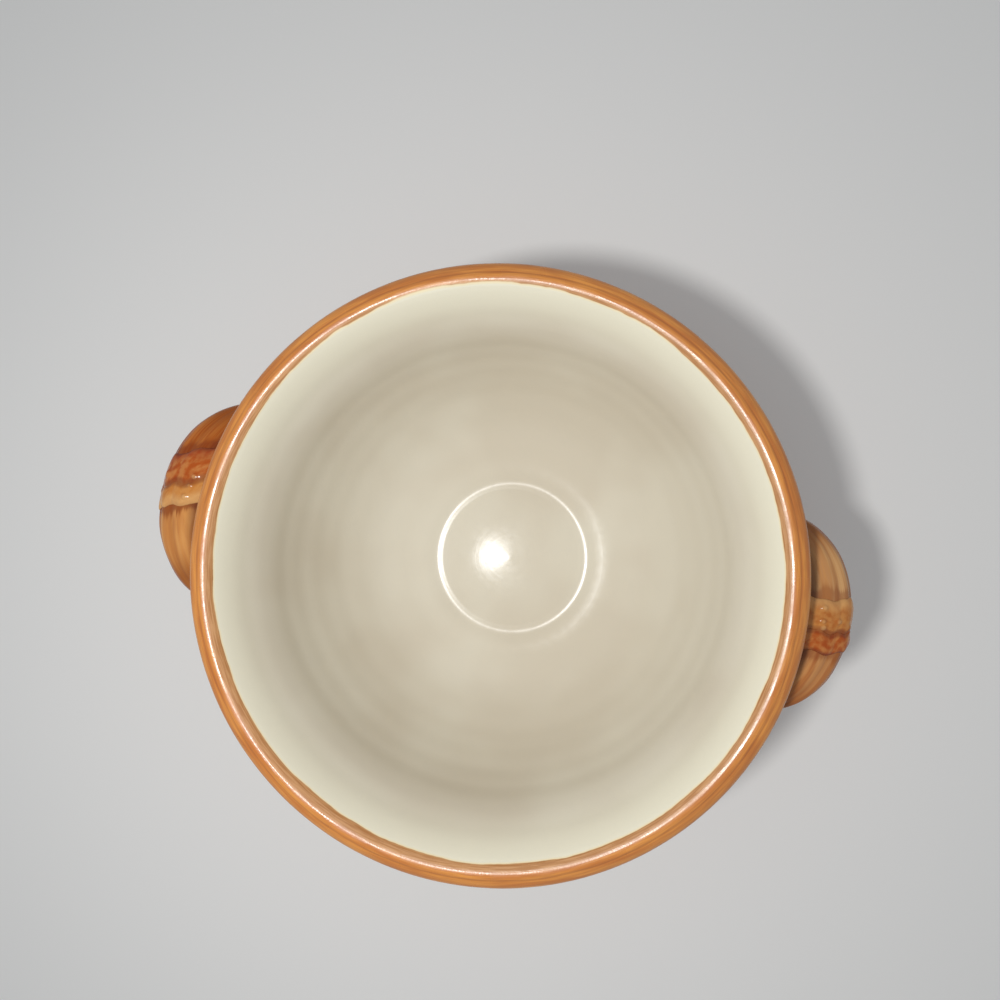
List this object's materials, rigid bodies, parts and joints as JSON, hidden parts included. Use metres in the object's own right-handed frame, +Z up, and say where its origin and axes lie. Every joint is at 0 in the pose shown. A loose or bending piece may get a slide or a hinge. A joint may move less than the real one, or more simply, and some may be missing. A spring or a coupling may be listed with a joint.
{
  "type": "onion soup crock",
  "caption": "Glazed stoneware soup crock: round bowl with a rolled rim, a turned foot ring and two short lugs shaped like tied bundles of stalks.",
  "frame": {"origin": "centre of the flat face that the foot ring rests on", "axes": "+Z up through the mouth, +X along the lugs and out through the right-hand lug, +Y towards the side that the lugs sit nearer to"},
  "size_m": [0.16, 0.13, 0.072],
  "materials": {
    "fired_clay": "matt fired buff stoneware",
    "bare_foot": "matt, fine turning lines, unglazed",
    "rim_glaze": "gloss, brushed orange brown",
    "cream_glaze": "gloss cream",
    "caramel_glaze": "gloss caramel, brushed",
    "handle_glaze": "gloss, streaked tan over orange brown",
    "tie_glaze": "gloss, darker orange brown in the grooves",
    "slip": "satin, brown clay slip"
  },
  "bodies": {
    "root": {"bowl_body": "fired_clay", "foot_ring": "bare_foot", "rim_roll": "rim_glaze", "liner_glaze": "cream_glaze", "outer_glaze": "caramel_glaze", "left_handle": "handle_glaze", "right_handle": "handle_glaze", "left_handle_tie": "tie_glaze", "right_handle_tie": "tie_glaze", "left_handle_slip": "slip", "right_handle_slip": "slip"}
  },
  "joints": []
}
